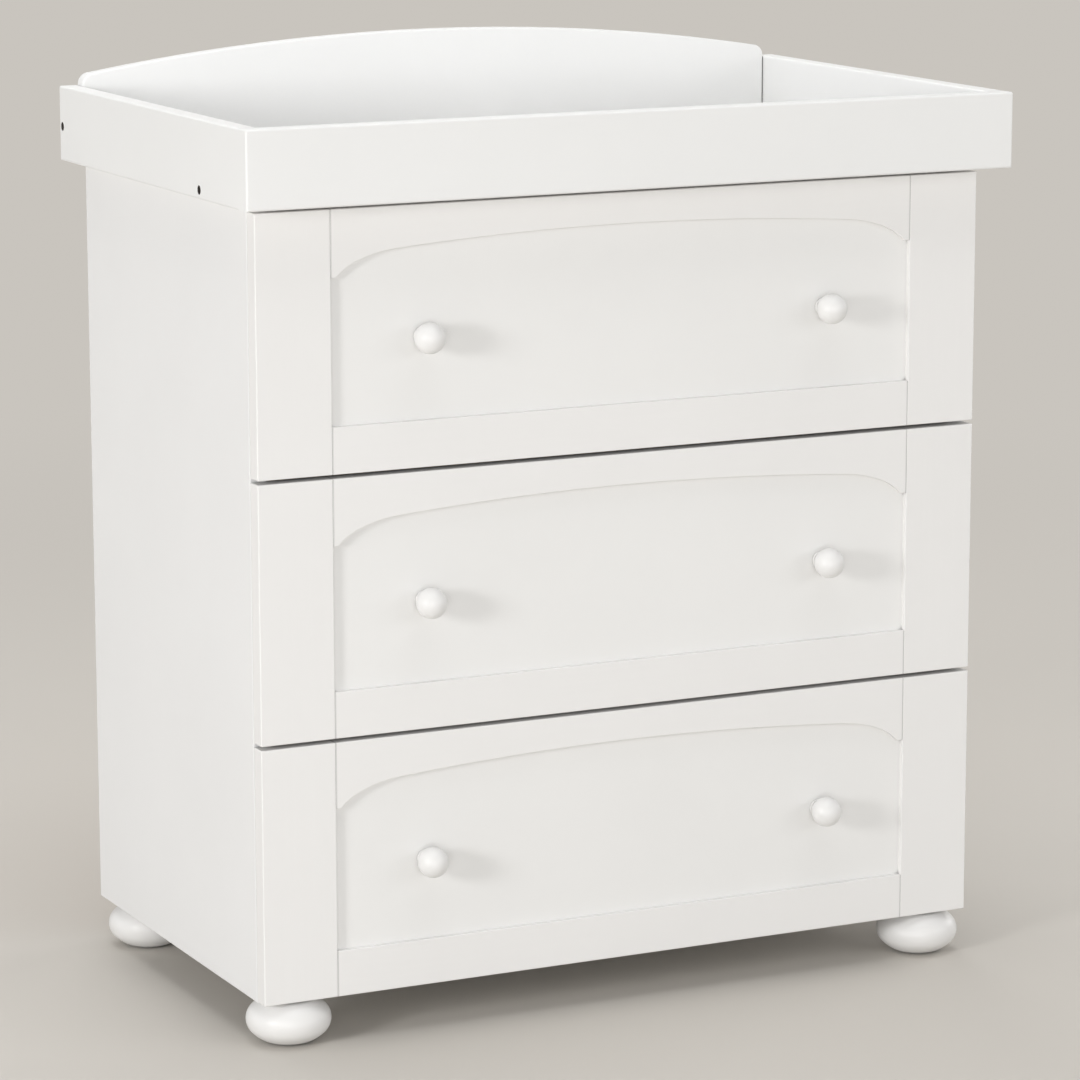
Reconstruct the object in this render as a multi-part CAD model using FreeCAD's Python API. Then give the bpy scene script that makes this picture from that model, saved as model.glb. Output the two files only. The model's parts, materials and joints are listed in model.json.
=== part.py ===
import FreeCAD, Part
import math
import os

os.makedirs("parts", exist_ok=True)

# A white painted nursery dresser: three drawers on four bun feet, with a changing tray round its top.
# Millimetres. +X points right seen from the front, the drawers open towards -Y, and +Z is up.
# The origin is on the floor, under the middle of the box that holds the whole dresser.

# carcass
carcass_width = 807.0
side_depth = 441.0
side_height = 796.0
panel_thickness = 18.0
back_thickness = 4.0
back_inset = 7.0  # from the rear edge of the sides to the rear face of the back panel
back_groove_depth = 6.0
edge_radius = 1.2

# feet
foot_diameter = 86.0
foot_height = 47.0
foot_flat_radius = 20.0  # of the flat seat and the flat base
foot_bulge_radius = 18.0  # of the arc round the widest line
foot_bulge_angle = 45.0  # that this arc takes above and below the widest line
foot_side_inset = 39.0  # foot centre to the outer face of the side
foot_front_inset = 33.0  # foot centre to the face of the drawer fronts
foot_rear_inset = 42.0  # foot centre to the rear edge of the side
foot_bolt_radius = 4.0
foot_bolt_in_foot = 34.0
foot_bolt_in_base = 14.0

# changing tray
tray_board_height = 78.0
tray_board_thickness = 20.0
tray_front_overhang = 34.0  # ahead of the drawer fronts
top_side_overhang = 1.5  # top panel beyond each carcass side
arch_board_thickness = 16.0
arch_board_end = 89.0  # height of the arched board at its ends, before the corners are rounded
arch_board_crown = 122.5  # its height in the middle
arch_corner_radius = 12.0
board_edge_radius = 2.2

# tray screws, sunk in round holes in the side boards
tray_screw_radius = 2.4
tray_screw_length = 42.0
tray_screw_head_radius = 4.1
tray_screw_head_length = 5.0
tray_screw_key_radius = 2.1
tray_screw_key_depth = 3.0
tray_hole_radius = 4.6
tray_hole_depth = 10.0
low_hole_setback = 121.0  # behind the front face of the tray
rear_hole_rise = 36.0

# drawers, counted from the top
drawer_count = 3
front_thickness = 18.0
front_standoff = 2.0  # between a closed front and the carcass edges
front_gap = 4.0
front_top_gap = 6.0
front_bottom_gap = 1.0
stile_width = 79.0
bottom_rail_height = 47.0
top_rail_middle = 31.5  # height of the top rail under the crown of its arch
top_rail_end = 67.0  # height of the top rail beside the stiles
arch_nib = 6.0  # level stretch between a stile and the start of the arch
arch_knee_run = 26.0  # from a stile to where the corner's small arc ends
arch_knee_rise = 14.2  # of that place above the nib
arch_shoulder_run = 70.0  # from a stile to where the long arc starts
arch_shoulder_drop = 10.4  # from the crown down to that place
recess_depth = 6.0
panel_lap = 10.0  # of the recessed panel behind the stiles and rails
joint_edge_radius = 0.7
tenon_length = 12.0
tenon_thickness = 6.0
tenon_edge = 4.0  # wood left beside a tenon

# drawer boxes
box_gap = 2.0  # between a drawer side and the carcass side
box_side_thickness = 15.0
box_side_height = 180.0
box_rear_gap = 33.0  # behind a closed drawer
box_rise = 20.0  # drawer side above the lower edge of its front
front_housing_depth = 6.0
box_back_thickness = 15.0
box_back_drop = 12.0
box_back_setback = 10.0
back_housing_depth = 5.0
bottom_thickness = 4.0
bottom_rise = 8.0
bottom_groove_depth = 6.0

# guide strips on the carcass sides
guide_height = 16.0
guide_depth = 9.5
guide_setback = 30.0  # behind the front edge of the carcass side
guide_rear_gap = 30.0  # to the back panel
guide_rise = 90.0
guide_clearance = 0.5
stop_clearance = 0.5
guide_screw_count = 3
guide_screw_end = 35.0  # first and last screw to the ends of the strip
guide_screw_radius = 1.75
guide_screw_head_radius = 3.5
guide_screw_head_length = 2.2
guide_screw_length = 20.0

# knobs
knob_spacing = 451.0
knob_ball_radius = 15.5
knob_projection = 35.5
knob_neck_radius = 6.5
knob_foot_radius = 9.0
knob_foot_height = 2.5
knob_screw_radius = 2.0
knob_screw_reach = 15.0
knob_screw_head_radius = 4.2
knob_screw_head_height = 2.6

# dowels and cam fittings
dowel_radius = 4.0
dowel_length = 30.0
dowel_face_depth = 12.0  # in the piece whose face is drilled
dowel_margin = 75.0
tray_dowel_margin = 18.0
cam_margin = 110.0
cam_radius = 7.5
cam_depth = 12.5
cam_inset = 25.0
cam_bolt_radius = 3.0
cam_bolt_reach = 12.0
cam_bolt_grip = 5.0  # how far the bolt enters the cam

# clearances
hole_clearance = 0.05
slip = 0.25
end_clearance = 0.5
seam = 0.3

# places worked out from the sizes above
half_width = carcass_width / 2
side_inner = half_width - panel_thickness
front_reach = max(tray_front_overhang, knob_projection - recess_depth)
total_depth = front_reach + front_thickness + front_standoff + side_depth + arch_board_thickness
front_face = front_reach - total_depth / 2
front_back = front_face + front_thickness
carcass_front = front_back + front_standoff
carcass_rear = carcass_front + side_depth
back_rear = carcass_rear - back_inset
back_front = back_rear - back_thickness
carcass_bottom = foot_height
carcass_top = carcass_bottom + side_height
tray_inner = half_width + top_side_overhang
tray_outer = tray_inner + tray_board_thickness
tray_front = front_face - tray_front_overhang
tray_board_back = tray_front + tray_board_thickness
tray_rear = carcass_rear + arch_board_thickness
tray_top = carcass_top + tray_board_height
front_stack = side_height - front_bottom_gap - front_top_gap - (drawer_count - 1) * front_gap
front_height = front_stack / drawer_count
box_outer = side_inner - box_gap
box_inner = box_outer - box_side_thickness
box_front = front_back - front_housing_depth
box_rear = back_front - box_rear_gap
guide_front = carcass_front + guide_setback
guide_rear = back_front - guide_rear_gap
touch = 0.01  # edges this near to a plane count as lying in it

pieces = {}


def vector(x, y, z):
    return FreeCAD.Vector(x, y, z)


along_x = vector(1, 0, 0)
along_y = vector(0, 1, 0)
along_z = vector(0, 0, 1)


def block(x_low, x_high, y_low, y_high, z_low, z_high):
    corner = vector(x_low, y_low, z_low)
    return Part.makeBox(x_high - x_low, y_high - y_low, z_high - z_low, corner)


def rod(radius, start, end):
    return Part.makeCylinder(radius, (end - start).Length, start, end - start)


def mirrored(shape):
    return shape.mirror(vector(0, 0, 0), along_x)


def edges_at(shape, x=None, y=None, z=None):
    """The edges that lie in every plane given."""
    found = []
    for edge in shape.Edges:
        box = edge.BoundBox
        spans = [(x, box.XMin, box.XMax), (y, box.YMin, box.YMax), (z, box.ZMin, box.ZMax)]
        asked = [span for span in spans if span[0] is not None]
        if all(abs(low - at) < touch and abs(high - at) < touch for at, low, high in asked):
            found.append(edge)
    return found


def eased(shape, radius, places):
    """The shape with rounded edges at each of the places, given as planes that meet there."""
    chosen = []
    for place in places:
        chosen += edges_at(shape, **place)
    return shape.makeFillet(radius, chosen)


def tangent_arc(start, inward, end):
    """The arc from start to end whose centre lies from start along the unit vector inward."""
    chord = end - start
    radius = chord.Length ** 2 / (2 * chord.dot(inward))
    centre = start + inward * radius
    outward = ((start + end) * 0.5 - centre).normalize()
    return Part.Arc(start, centre + outward * radius, end).toShape()


def turned(profile, centre, axis):
    """The solid that a closed wire makes when it turns round an axis through centre."""
    return Part.Face(profile).revolve(centre, axis, 360)


# ---- fittings: each list holds the solids, and its bores are cut from the pieces that they join


def dowel(seam_point, direction, bores):
    """A dowel across a joint, pointing into the piece whose face is drilled."""
    start = seam_point - direction * (dowel_length - dowel_face_depth)
    end = seam_point + direction * dowel_face_depth
    spare = direction * end_clearance
    bores.append(rod(dowel_radius + hole_clearance, start - spare, end + spare))
    return rod(dowel_radius, start, end)


def cam_pair(cam_face, cam_axis, bolt_axis, bolt_offset, seam_distance, bores):
    """A cam sunk in a face, and the bolt that it pulls, which crosses the joint."""
    cam = rod(cam_radius, cam_face, cam_face + cam_axis * cam_depth)
    middle = cam_face + cam_axis * bolt_offset
    start = middle + bolt_axis * (cam_radius - cam_bolt_grip)
    end = middle + bolt_axis * (seam_distance + cam_bolt_reach)
    spare = bolt_axis * end_clearance
    bolt_bore = rod(cam_bolt_radius + slip, start - spare, end + spare)
    bores.append(rod(cam_radius + slip, cam_face, cam_face + cam_axis * (cam_depth + end_clearance)))
    bores.append(bolt_bore)
    return [cam.cut(bolt_bore), rod(cam_bolt_radius, start, end)]


def make_joinery():
    """Dowels and cams on the right, then their mirror images on the left."""
    bores = []
    dowels = []
    cams = []
    middle = panel_thickness / 2
    for row in (carcass_front + dowel_margin, carcass_rear - dowel_margin):
        dowels.append(dowel(vector(side_inner + middle, row, carcass_top), along_z, bores))
        dowels.append(dowel(vector(side_inner, row, carcass_bottom + middle), along_x, bores))
    board_middle = tray_inner + tray_board_thickness / 2
    for height in (carcass_top + tray_dowel_margin, tray_top - tray_dowel_margin):
        dowels.append(dowel(vector(board_middle, tray_board_back, height), -along_y, bores))
    for row in (carcass_front + cam_margin, carcass_rear - cam_margin):
        in_side = vector(side_inner, row, carcass_top - cam_inset)
        cams += cam_pair(in_side, along_x, along_z, middle, cam_inset, bores)
        in_base = vector(side_inner - cam_inset, row, carcass_bottom)
        cams += cam_pair(in_base, along_z, along_x, middle, cam_inset, bores)
    dowels += [mirrored(shape) for shape in dowels]
    cams += [mirrored(shape) for shape in cams]
    bores += [mirrored(shape) for shape in bores]
    pieces["dowels"] = Part.makeCompound(dowels)
    pieces["cam_fittings"] = Part.makeCompound(cams)
    return bores


def make_tray_screws():
    """One low screw a side, into the end of the top panel, and one into the end of the arched board."""
    bores = []
    screws = []
    low = vector(tray_outer, tray_front + low_hole_setback, carcass_top + panel_thickness / 2)
    rear = vector(tray_outer, tray_rear - arch_board_thickness / 2, carcass_top + rear_hole_rise)
    for mouth in (low, rear):
        seat = mouth - along_x * tray_hole_depth
        head_top = seat + along_x * tray_screw_head_length
        end = seat - along_x * tray_screw_length
        head = rod(tray_screw_head_radius, seat, head_top)
        key = rod(tray_screw_key_radius, head_top - along_x * tray_screw_key_depth, head_top)
        screws.append(head.cut(key).fuse(rod(tray_screw_radius, end, seat)).removeSplitter())
        bores.append(rod(tray_hole_radius, seat, mouth))
        bores.append(rod(tray_screw_radius + hole_clearance, end - along_x * end_clearance, seat))
    screws += [mirrored(shape) for shape in screws]
    bores += [mirrored(shape) for shape in bores]
    pieces["tray_screws"] = Part.makeCompound(screws)
    return bores


def foot_centres():
    x = half_width - foot_side_inset
    front = front_face + foot_front_inset
    rear = carcass_rear - foot_rear_inset
    return {
        "front_left": (-x, front),
        "front_right": (x, front),
        "rear_left": (-x, rear),
        "rear_right": (x, rear),
    }


def foot_profile(x, y):
    """Half of a bun foot: a bulge between two flatter arcs that end at the flat seat and base."""
    middle = foot_height / 2
    widest = vector(x + foot_diameter / 2, y, middle)
    bulge_centre = widest - along_x * foot_bulge_radius
    angle = math.radians(foot_bulge_angle)
    base = vector(x + foot_flat_radius, y, 0)
    seat = vector(x + foot_flat_radius, y, foot_height)
    downward = vector(math.cos(angle), 0, -math.sin(angle))
    upward = vector(math.cos(angle), 0, math.sin(angle))
    low_join = bulge_centre + downward * foot_bulge_radius
    high_join = bulge_centre + upward * foot_bulge_radius
    return Part.Wire([
        Part.makeLine(vector(x, y, 0), base),
        tangent_arc(low_join, -downward, base),
        Part.Arc(low_join, widest, high_join).toShape(),
        tangent_arc(high_join, -upward, seat),
        Part.makeLine(seat, vector(x, y, foot_height)),
        Part.makeLine(vector(x, y, foot_height), vector(x, y, 0)),
    ])


def make_feet():
    bores = []
    bolts = []
    for name, (x, y) in foot_centres().items():
        start = vector(x, y, foot_height - foot_bolt_in_foot)
        end = vector(x, y, foot_height + foot_bolt_in_base)
        spare = along_z * end_clearance
        bore = rod(foot_bolt_radius + hole_clearance, start - spare, end + spare)
        foot = turned(foot_profile(x, y), vector(x, y, 0), along_z)
        pieces["foot_" + name] = foot.cut(bore)
        bolts.append(rod(foot_bolt_radius, start, end))
        bores.append(bore)
    pieces["foot_bolts"] = Part.makeCompound(bolts)
    return bores


def guide_height_of(front_bottom):
    return front_bottom + box_rise + guide_rise


def front_bottoms():
    """The height of the lower edge of each drawer front, from the top drawer down."""
    lowest = carcass_bottom + front_bottom_gap
    return [lowest + (drawer_count - 1 - n) * (front_height + front_gap) for n in range(drawer_count)]


def guide_screw(x, y, z):
    """A countersunk screw, its head flush with the face of the strip."""
    head_end = vector(x + guide_screw_head_length, y, z)
    head = Part.makeCone(
        guide_screw_head_radius, guide_screw_radius, guide_screw_head_length, vector(x, y, z), along_x
    )
    return head.fuse(rod(guide_screw_radius, head_end, vector(x + guide_screw_length, y, z))).removeSplitter()


def make_guides():
    """The strips that the drawers run on, and the screws that hold them."""
    bores = []
    screws = []
    face = side_inner - guide_depth
    step = (guide_rear - guide_front - 2 * guide_screw_end) / (guide_screw_count - 1)
    for number, front_bottom in enumerate(front_bottoms(), 1):
        middle = guide_height_of(front_bottom)
        low = middle - guide_height / 2
        strip = block(face, side_inner, guide_front, guide_rear, low, low + guide_height)
        places = [{"x": face, "z": low}, {"x": face, "z": low + guide_height}]
        strip = eased(strip, edge_radius, places)
        holes = []
        for n in range(guide_screw_count):
            y = guide_front + guide_screw_end + n * step
            screws.append(guide_screw(face, y, middle))
            start = vector(face, y, middle)
            end = vector(face + guide_screw_length + end_clearance, y, middle)
            holes.append(rod(guide_screw_radius + hole_clearance, start, end))
            holes.append(screws[-1])
        strip = strip.cut(holes)
        pieces[f"guide_{number}_right"] = strip
        pieces[f"guide_{number}_left"] = mirrored(strip)
        bores += holes
    screws += [mirrored(shape) for shape in screws]
    pieces["guide_screws"] = Part.makeCompound(screws)
    return bores


# ---- carcass and tray


def make_carcass(bores, guide_bores):
    side = block(side_inner, half_width, carcass_front, carcass_rear, carcass_bottom, carcass_top)
    places = [
        {"x": half_width, "y": carcass_front},
        {"x": half_width, "y": carcass_rear},
        {"x": half_width, "z": carcass_bottom},
        {"x": side_inner, "y": carcass_front},
        {"x": side_inner, "y": carcass_rear},
    ]
    side = eased(side, edge_radius, places)
    groove_end = side_inner + back_groove_depth
    groove = block(side_inner, groove_end, back_front - slip, back_rear + slip, carcass_bottom, carcass_top)
    side = side.cut([groove] + bores + guide_bores)
    pieces["side_panel_right"] = side
    pieces["side_panel_left"] = mirrored(side)

    base_high = carcass_bottom + panel_thickness
    base = block(-side_inner, side_inner, carcass_front, back_front, carcass_bottom, base_high)
    base = eased(base, edge_radius, [{"y": carcass_front, "z": base_high}])
    pieces["base_panel"] = base.cut(bores)

    back_side = groove_end - end_clearance
    back_low = carcass_bottom + end_clearance
    back_high = carcass_top - end_clearance
    pieces["back_panel"] = block(-back_side, back_side, back_front, back_rear, back_low, back_high)

    top_high = carcass_top + panel_thickness
    top = block(-tray_inner, tray_inner, tray_board_back, carcass_rear, carcass_top, top_high)
    pieces["top_panel"] = top.cut(bores)


def arched_board():
    """A board that rises from its ends to a crown in one shallow arc, with rounded corners."""
    end = tray_inner - seam
    low = carcass_top
    shoulder = low + arch_board_end
    left_low = vector(-end, carcass_rear, low)
    left_high = vector(-end, carcass_rear, shoulder)
    right_low = vector(end, carcass_rear, low)
    right_high = vector(end, carcass_rear, shoulder)
    crown = vector(0, carcass_rear, low + arch_board_crown)
    outline = Part.Wire([
        Part.makeLine(left_low, left_high),
        Part.Arc(left_high, crown, right_high).toShape(),
        Part.makeLine(right_high, right_low),
        Part.makeLine(right_low, left_low),
    ])
    board = Part.Face(outline).extrude(along_y * arch_board_thickness)
    corners = edges_at(board, x=-end, z=shoulder) + edges_at(board, x=end, z=shoulder)
    board = board.makeFillet(arch_corner_radius, corners)
    rims = []
    for y in (carcass_rear, tray_rear):
        rims += [edge for edge in edges_at(board, y=y) if edge.BoundBox.ZMax > low + touch]
    return board.makeFillet(board_edge_radius, rims)


def make_tray(bores):
    front = block(-tray_outer, tray_outer, tray_front, tray_board_back, carcass_top, tray_top)
    places = [
        {"y": tray_front, "z": tray_top},
        {"y": tray_front, "z": carcass_top},
        {"y": tray_board_back, "z": tray_top},
        {"x": -tray_outer, "y": tray_front},
        {"x": tray_outer, "y": tray_front},
        {"x": -tray_outer, "z": tray_top},
        {"x": tray_outer, "z": tray_top},
    ]
    pieces["tray_board_front"] = eased(front, board_edge_radius, places).cut(bores)

    side = block(tray_inner, tray_outer, tray_board_back, tray_rear, carcass_top, tray_top)
    places = [
        {"x": tray_outer, "z": tray_top},
        {"x": tray_inner, "z": tray_top},
        {"x": tray_outer, "z": carcass_top},
        {"x": tray_outer, "y": tray_rear},
        {"y": tray_rear, "z": tray_top},
    ]
    side = eased(side, board_edge_radius, places).cut(bores)
    pieces["tray_board_right"] = side
    pieces["tray_board_left"] = mirrored(side)
    pieces["tray_board_arched"] = arched_board().cut(bores)


# ---- drawer fronts


def top_rail_outline(low):
    """The top rail seen from the front: under it level nibs, two arcs at each corner and one long arc."""
    end = half_width - stile_width
    high = low + front_height
    crown = vector(0, front_face, high - top_rail_middle)
    shoulder = vector(end - arch_shoulder_run, front_face, crown.z - arch_shoulder_drop)
    nib = vector(end - arch_nib, front_face, high - top_rail_end)
    knee = vector(end - arch_knee_run, front_face, nib.z + arch_knee_rise)
    corner = vector(end, front_face, nib.z)
    top_left = vector(-end, front_face, high)
    top_right = vector(end, front_face, high)
    long_radius = (shoulder.x ** 2 + arch_shoulder_drop ** 2) / (2 * arch_shoulder_drop)
    inward = (vector(0, front_face, crown.z - long_radius) - shoulder).normalize()
    upper_arc = tangent_arc(shoulder, inward, knee)
    lower_arc = tangent_arc(knee, (upper_arc.Curve.Center - knee).normalize(), nib)
    right = [Part.makeLine(top_right, corner), Part.makeLine(corner, nib), lower_arc, upper_arc]
    left = [mirrored(edge) for edge in reversed(right)]
    long_arc = Part.Arc(shoulder, crown, vector(-shoulder.x, front_face, shoulder.z)).toShape()
    return Part.Wire([Part.makeLine(top_left, top_right)] + right + [long_arc] + left)


def tenon(z_low, z_high, clearance):
    """The tongue at the right end of a rail, or with a clearance, its mortise."""
    root = half_width - stile_width
    tip = root + tenon_length - end_clearance + 2 * clearance
    y_low = front_face + (front_thickness - tenon_thickness) / 2 - clearance
    y_high = y_low + tenon_thickness + 2 * clearance
    return block(root, tip, y_low, y_high, z_low - clearance, z_high + clearance)


def make_front(name, low, box_bores):
    """Two stiles, two rails and the recessed panel of one drawer front."""
    high = low + front_height
    rail_end = half_width - stile_width
    panel_side = rail_end + panel_lap
    panel_low = low + bottom_rail_height - panel_lap
    panel_high = high - top_rail_middle + panel_lap
    panel_face = front_face + recess_depth
    rebate = block(
        -panel_side - slip, panel_side + slip, panel_face, front_back, panel_low - slip, panel_high + slip
    )
    top_tongue = (panel_high + tenon_edge, high - tenon_edge)
    bottom_tongue = (low + tenon_edge, panel_low - tenon_edge)

    stile = block(rail_end, half_width, front_face, front_back, low, high)
    outer_places = [
        {"x": half_width, "y": front_face},
        {"y": front_face, "z": high},
        {"y": front_face, "z": low},
        {"x": half_width, "z": high},
        {"x": half_width, "z": low},
    ]
    stile = eased(stile, edge_radius, outer_places)
    stile = eased(stile, joint_edge_radius, [{"x": rail_end, "y": front_face}])
    mortises = [tenon(*top_tongue, slip), tenon(*bottom_tongue, slip)]
    stile = stile.cut([rebate] + mortises + box_bores)
    pieces[name + "_stile_right"] = stile
    pieces[name + "_stile_left"] = mirrored(stile)

    top_rail = Part.Face(top_rail_outline(low)).extrude(along_y * front_thickness)
    top_rail = eased(top_rail, edge_radius, [{"y": front_face, "z": high}])
    front_edges = edges_at(top_rail, y=front_face)
    lower_edges = [edge for edge in front_edges if edge.BoundBox.ZMin < high - edge_radius - touch]
    top_rail = top_rail.makeFillet(joint_edge_radius, lower_edges)
    tongues = [tenon(*top_tongue, 0), mirrored(tenon(*top_tongue, 0))]
    pieces[name + "_top_rail"] = top_rail.fuse(tongues).cut(rebate).removeSplitter()

    rail_high = low + bottom_rail_height
    bottom_rail = block(-rail_end, rail_end, front_face, front_back, low, rail_high)
    bottom_rail = eased(bottom_rail, edge_radius, [{"y": front_face, "z": low}])
    joint_places = [
        {"y": front_face, "z": rail_high},
        {"x": -rail_end, "y": front_face},
        {"x": rail_end, "y": front_face},
    ]
    bottom_rail = eased(bottom_rail, joint_edge_radius, joint_places)
    tongues = [tenon(*bottom_tongue, 0), mirrored(tenon(*bottom_tongue, 0))]
    bottom_rail = bottom_rail.fuse(tongues).cut([rebate] + box_bores).removeSplitter()
    pieces[name + "_bottom_rail"] = bottom_rail

    panel = block(-panel_side, panel_side, panel_face, front_back, panel_low, panel_high)
    knob_height = low + front_height / 2
    holes = []
    for x in (-knob_spacing / 2, knob_spacing / 2):
        start = vector(x, panel_face, knob_height)
        holes.append(rod(knob_screw_radius + slip, start, vector(x, front_back, knob_height)))
    pieces[name + "_panel"] = panel.cut(holes)
    make_knobs(name, panel_face, knob_height)


def knob_profile(x, face, z):
    """Half of a turned knob: a small foot, a neck and a ball."""
    ball_middle = face - knob_projection + knob_ball_radius
    neck_top = ball_middle + math.sqrt(knob_ball_radius ** 2 - knob_neck_radius ** 2)
    tip = vector(x, face - knob_projection, z)
    foot_edge = face - knob_foot_height
    waist = vector(x + knob_neck_radius, (foot_edge + neck_top) / 2, z)
    lines = [
        Part.makeLine(vector(x, face, z), vector(x + knob_foot_radius, face, z)),
        Part.makeLine(vector(x + knob_foot_radius, face, z), vector(x + knob_foot_radius, foot_edge, z)),
        Part.makeLine(vector(x + knob_foot_radius, foot_edge, z), waist),
        Part.makeLine(waist, vector(x + knob_neck_radius, neck_top, z)),
        Part.Arc(
            vector(x + knob_neck_radius, neck_top, z), vector(x + knob_ball_radius, ball_middle, z), tip
        ).toShape(),
        Part.makeLine(tip, vector(x, face, z)),
    ]
    return Part.Wire(lines)


def make_knobs(name, face, z):
    """Two knobs, and the screws that come through the panel from inside the drawer."""
    screws = []
    for side, x in (("left", -knob_spacing / 2), ("right", knob_spacing / 2)):
        knob = turned(knob_profile(x, face, z), vector(x, face, z), along_y)
        end = vector(x, face - knob_screw_reach, z)
        seat = vector(x, front_back, z)
        bore = rod(knob_screw_radius + hole_clearance, end - along_y * end_clearance, vector(x, face, z))
        pieces[f"{name}_knob_{side}"] = knob.cut(bore)
        head = rod(knob_screw_head_radius, seat, seat + along_y * knob_screw_head_height)
        screws.append(head.fuse(rod(knob_screw_radius, end, seat)).removeSplitter())
    pieces[name + "_knob_screws"] = Part.makeCompound(screws)


# ---- drawer boxes


def make_box(name, low):
    """Two grooved sides, a back and a thin bottom; returns what the front has to leave room for."""
    side_low = low + box_rise
    side_high = side_low + box_side_height
    bottom_low = side_low + bottom_rise
    bottom_high = bottom_low + bottom_thickness
    back_rear_face = box_rear - box_back_setback
    back_front_face = back_rear_face - box_back_thickness
    back_high = side_high - box_back_drop
    bottom_front = front_back - bottom_groove_depth + end_clearance
    bottom_side = box_inner + bottom_groove_depth - end_clearance

    side = block(box_inner, box_outer, box_front, box_rear, side_low, side_high)
    places = [
        {"x": box_outer, "z": side_high},
        {"x": box_inner, "z": side_high},
        {"x": box_outer, "z": side_low},
        {"x": box_outer, "y": box_rear},
    ]
    side = eased(side, edge_radius, places)
    groove_front = guide_front - stop_clearance
    groove_middle = guide_height_of(low)
    groove_half = guide_height / 2 + guide_clearance
    groove_inner = side_inner - guide_depth - guide_clearance
    groove_low = groove_middle - groove_half
    groove_high = groove_middle + groove_half
    guide_groove = block(groove_inner, box_outer, groove_front, box_rear, groove_low, groove_high)
    bottom_groove = block(
        box_inner, box_inner + bottom_groove_depth, box_front, box_rear, bottom_low - slip, bottom_high + slip
    )
    housing_outer = box_inner + back_housing_depth
    back_housing = block(
        box_inner, housing_outer, back_front_face - slip, back_rear_face + slip, bottom_high, back_high + slip
    )
    side = side.cut([guide_groove, bottom_groove, back_housing])
    pieces[name + "_side_right"] = side
    pieces[name + "_side_left"] = mirrored(side)

    back_side = housing_outer - end_clearance
    back = block(-back_side, back_side, back_front_face, back_rear_face, bottom_high + slip, back_high)
    pieces[name + "_back"] = back
    bottom = block(-bottom_side, bottom_side, bottom_front, back_rear_face, bottom_low, bottom_high)
    pieces[name + "_bottom"] = bottom

    side_housing = block(
        box_inner - slip, box_outer + slip, box_front - slip, front_back, side_low - slip, side_high + slip
    )
    sheet_side = bottom_side + slip
    sheet_groove = block(
        -sheet_side, sheet_side, bottom_front - slip, front_back, bottom_low - slip, bottom_high + slip
    )
    return [side_housing, sheet_groove]


joinery_bores = make_joinery()
screw_bores = make_tray_screws()
foot_bores = make_feet()
guide_bores = make_guides()
make_carcass(joinery_bores + screw_bores + foot_bores, guide_bores)
make_tray(joinery_bores + screw_bores)
for number, front_bottom in enumerate(front_bottoms(), 1):
    drawer = f"drawer_{number}"
    make_front(drawer, front_bottom, make_box(drawer, front_bottom))

for node, shape in pieces.items():
    shape.exportStep(f"parts/{node}.step")
    state = "valid" if shape.isValid() else "not valid"
    print(node, len(shape.Solids), "solids,", round(shape.Volume), "mm3,", state)
print(len(pieces), "nodes")
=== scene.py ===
import bpy
import json
import math
from mathutils import Euler, Matrix, Vector

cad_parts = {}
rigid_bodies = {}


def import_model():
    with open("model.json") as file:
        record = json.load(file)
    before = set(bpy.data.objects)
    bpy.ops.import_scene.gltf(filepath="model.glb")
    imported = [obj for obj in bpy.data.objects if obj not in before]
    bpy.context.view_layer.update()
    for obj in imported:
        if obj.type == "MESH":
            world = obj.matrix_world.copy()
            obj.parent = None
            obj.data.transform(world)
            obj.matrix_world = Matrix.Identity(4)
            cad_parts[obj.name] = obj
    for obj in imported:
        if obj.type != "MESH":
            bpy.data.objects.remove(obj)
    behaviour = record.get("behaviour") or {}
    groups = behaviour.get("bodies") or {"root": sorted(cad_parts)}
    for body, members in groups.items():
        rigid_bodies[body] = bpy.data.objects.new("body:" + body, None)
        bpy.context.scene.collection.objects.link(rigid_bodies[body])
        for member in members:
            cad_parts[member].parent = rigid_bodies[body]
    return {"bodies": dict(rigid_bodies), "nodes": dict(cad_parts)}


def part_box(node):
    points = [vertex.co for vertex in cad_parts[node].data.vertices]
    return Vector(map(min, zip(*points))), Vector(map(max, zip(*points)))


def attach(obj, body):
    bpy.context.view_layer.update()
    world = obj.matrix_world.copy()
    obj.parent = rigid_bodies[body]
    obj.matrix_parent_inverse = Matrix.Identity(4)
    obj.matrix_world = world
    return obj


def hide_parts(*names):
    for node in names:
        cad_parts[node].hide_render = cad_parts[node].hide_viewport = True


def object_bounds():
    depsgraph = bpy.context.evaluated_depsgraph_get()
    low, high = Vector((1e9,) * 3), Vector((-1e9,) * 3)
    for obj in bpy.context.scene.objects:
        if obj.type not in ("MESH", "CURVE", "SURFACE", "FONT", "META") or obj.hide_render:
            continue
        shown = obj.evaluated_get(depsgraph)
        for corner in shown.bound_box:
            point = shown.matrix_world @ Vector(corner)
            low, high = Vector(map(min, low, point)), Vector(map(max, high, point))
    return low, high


# A white painted changing dresser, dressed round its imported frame.
# Metres, +Z up, and the drawers open towards -Y.

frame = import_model()
cadLow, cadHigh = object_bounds()
nodes = frame["nodes"]
drawers = [name for name in frame["bodies"] if name.startswith("drawer_")]
print("frame loaded:", len(nodes), "nodes,", len(drawers), "drawers")


# helpers

def addNode(tree, kind, **settings):
    node = tree.nodes.new(kind)
    for key, value in settings.items():
        setattr(node, key, value)
    return node


def chain(tree, start, end):
    tree.links.new(start, end)


def calculate(tree, operation, *values, clamp=False):
    # one Math node, and each value is a number or a socket
    node = addNode(tree, "ShaderNodeMath", operation=operation, use_clamp=clamp)
    for socket, value in zip(node.inputs, values):
        if isinstance(value, (int, float)):
            socket.default_value = value
        else:
            chain(tree, value, socket)
    return node.outputs["Value"]


def makeObject(name, mesh):
    thing = bpy.data.objects.new(name, mesh)
    bpy.context.scene.collection.objects.link(thing)
    return thing


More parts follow.
